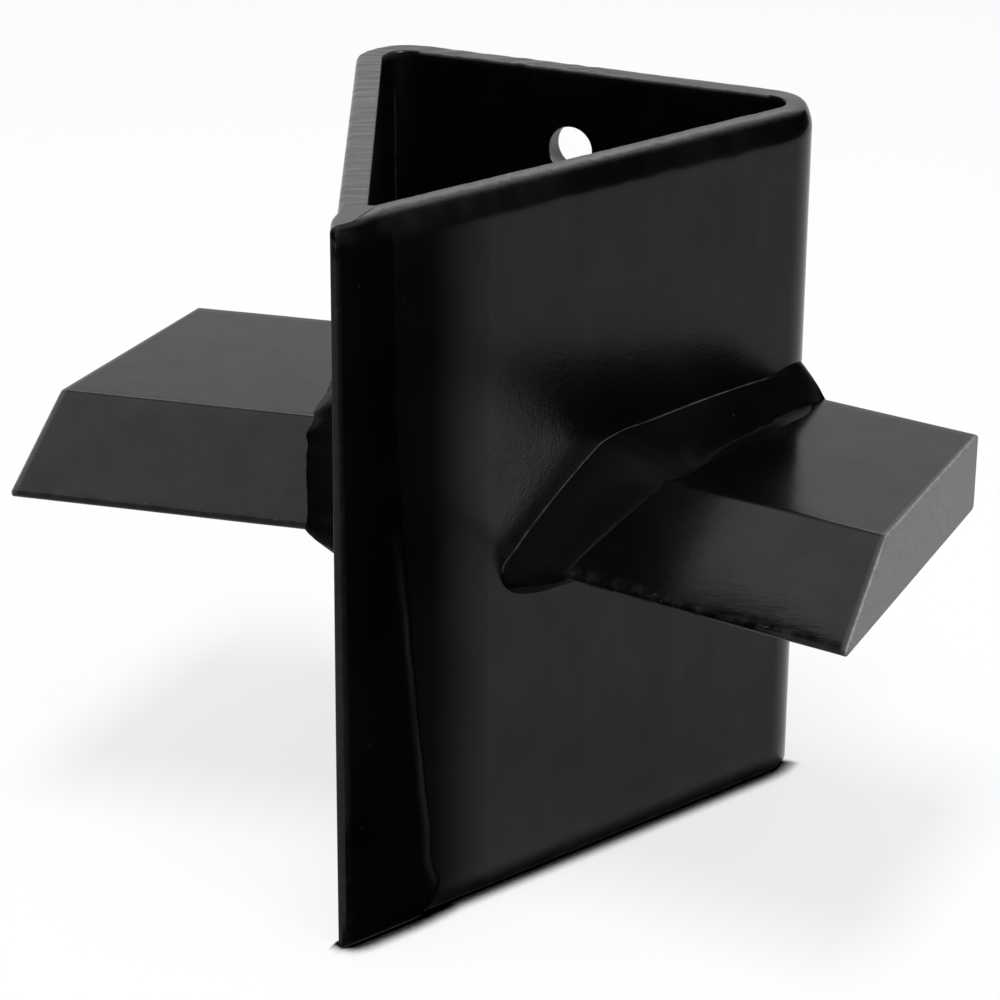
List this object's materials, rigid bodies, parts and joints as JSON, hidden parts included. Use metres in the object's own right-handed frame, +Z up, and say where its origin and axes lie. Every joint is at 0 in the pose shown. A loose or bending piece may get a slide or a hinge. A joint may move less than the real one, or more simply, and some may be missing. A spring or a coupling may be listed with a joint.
{
  "type": "four-way log splitter wedge",
  "caption": "Welded steel slip-on wedge for a log splitter: an open V-nosed sleeve with a bevelled blade on each side and a retaining bolt hole in its back wall.",
  "frame": {"origin": "centre of the bounding box in plan, on the bottom face that the part stands on", "axes": "+Z up the sleeve, nose edge towards -Y, back wall towards +Y, wings along X"},
  "size_m": [0.2088, 0.1408, 0.17],
  "materials": {
    "sleeve_paint": "gloss black paint over hot-rolled plate, light orange peel",
    "wing_paint": "gloss black paint over flat bar",
    "weld_paint": "gloss black paint over weld metal"
  },
  "bodies": {
    "root": {"sleeve_plate": "sleeve_paint", "nose_weld": "weld_paint", "right_wing": "wing_paint", "right_upper_weld": "weld_paint", "right_under_weld": "weld_paint", "right_back_weld": "weld_paint", "left_wing": "wing_paint", "left_upper_weld": "weld_paint", "left_under_weld": "weld_paint", "left_back_weld": "weld_paint"}
  },
  "joints": []
}
